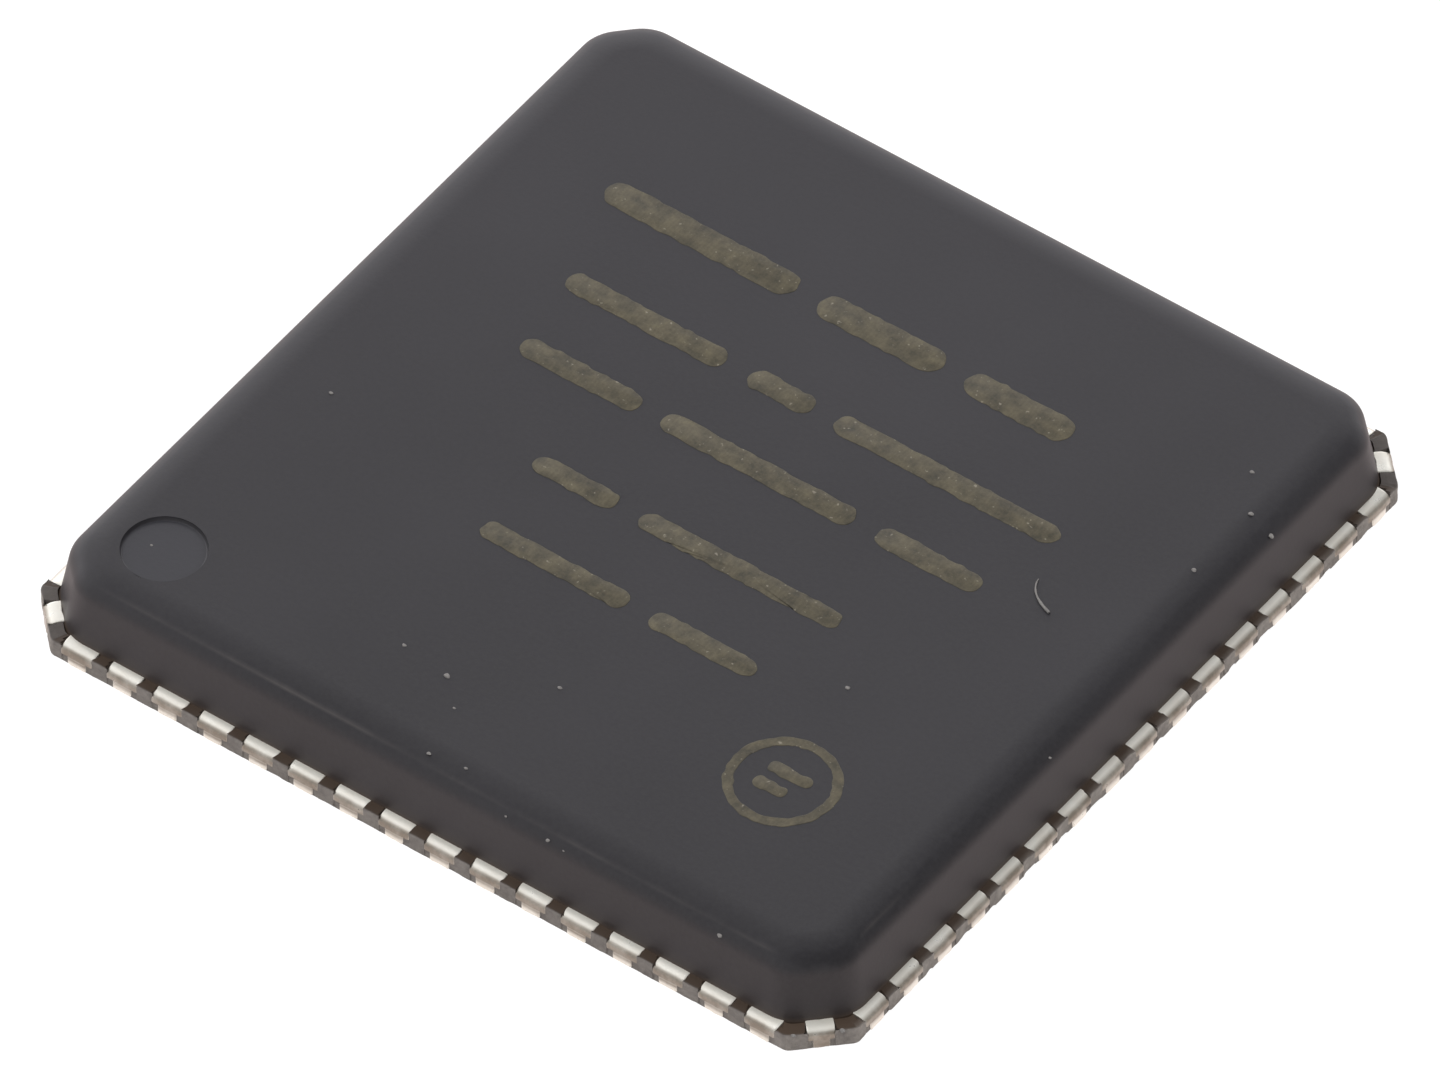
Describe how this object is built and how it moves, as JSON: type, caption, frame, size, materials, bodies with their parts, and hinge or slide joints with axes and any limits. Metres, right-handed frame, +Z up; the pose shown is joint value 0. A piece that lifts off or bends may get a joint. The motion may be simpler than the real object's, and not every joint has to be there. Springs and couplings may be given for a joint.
{
  "type": "qfn chip",
  "caption": "Square leadless chip package: a moulded epoxy cap with an orientation dimple on a plated copper lead frame, with lands along every side and an exposed pad underneath.",
  "frame": {"origin": "centre of the exposed pad's underside, on the plane that the lands rest on", "axes": "+Z up through the cap; +X along the front row of leads away from the corner with the dimple; +Y from the front row to the back row"},
  "size_m": [0.009, 0.009, 0.0009],
  "materials": {
    "moulded_epoxy": "matte silica-filled epoxy, as moulded against a spark-eroded tool",
    "plated_copper": "matte tin plating over copper, with bare copper on the sheared ends",
    "silver_adhesive": "cured silver-filled adhesive",
    "silicon": "polished silicon with a dull metallised face",
    "gold_wire": "drawn gold wire"
  },
  "bodies": {
    "root": {"mould_body": "moulded_epoxy", "die_paddle": "plated_copper", "die_attach": "silver_adhesive", "silicon_die": "silicon", "leads_front": "plated_copper", "leads_right": "plated_copper", "leads_back": "plated_copper", "leads_left": "plated_copper", "bond_wires_front": "gold_wire", "bond_wires_right": "gold_wire", "bond_wires_back": "gold_wire", "bond_wires_left": "gold_wire"}
  },
  "joints": []
}
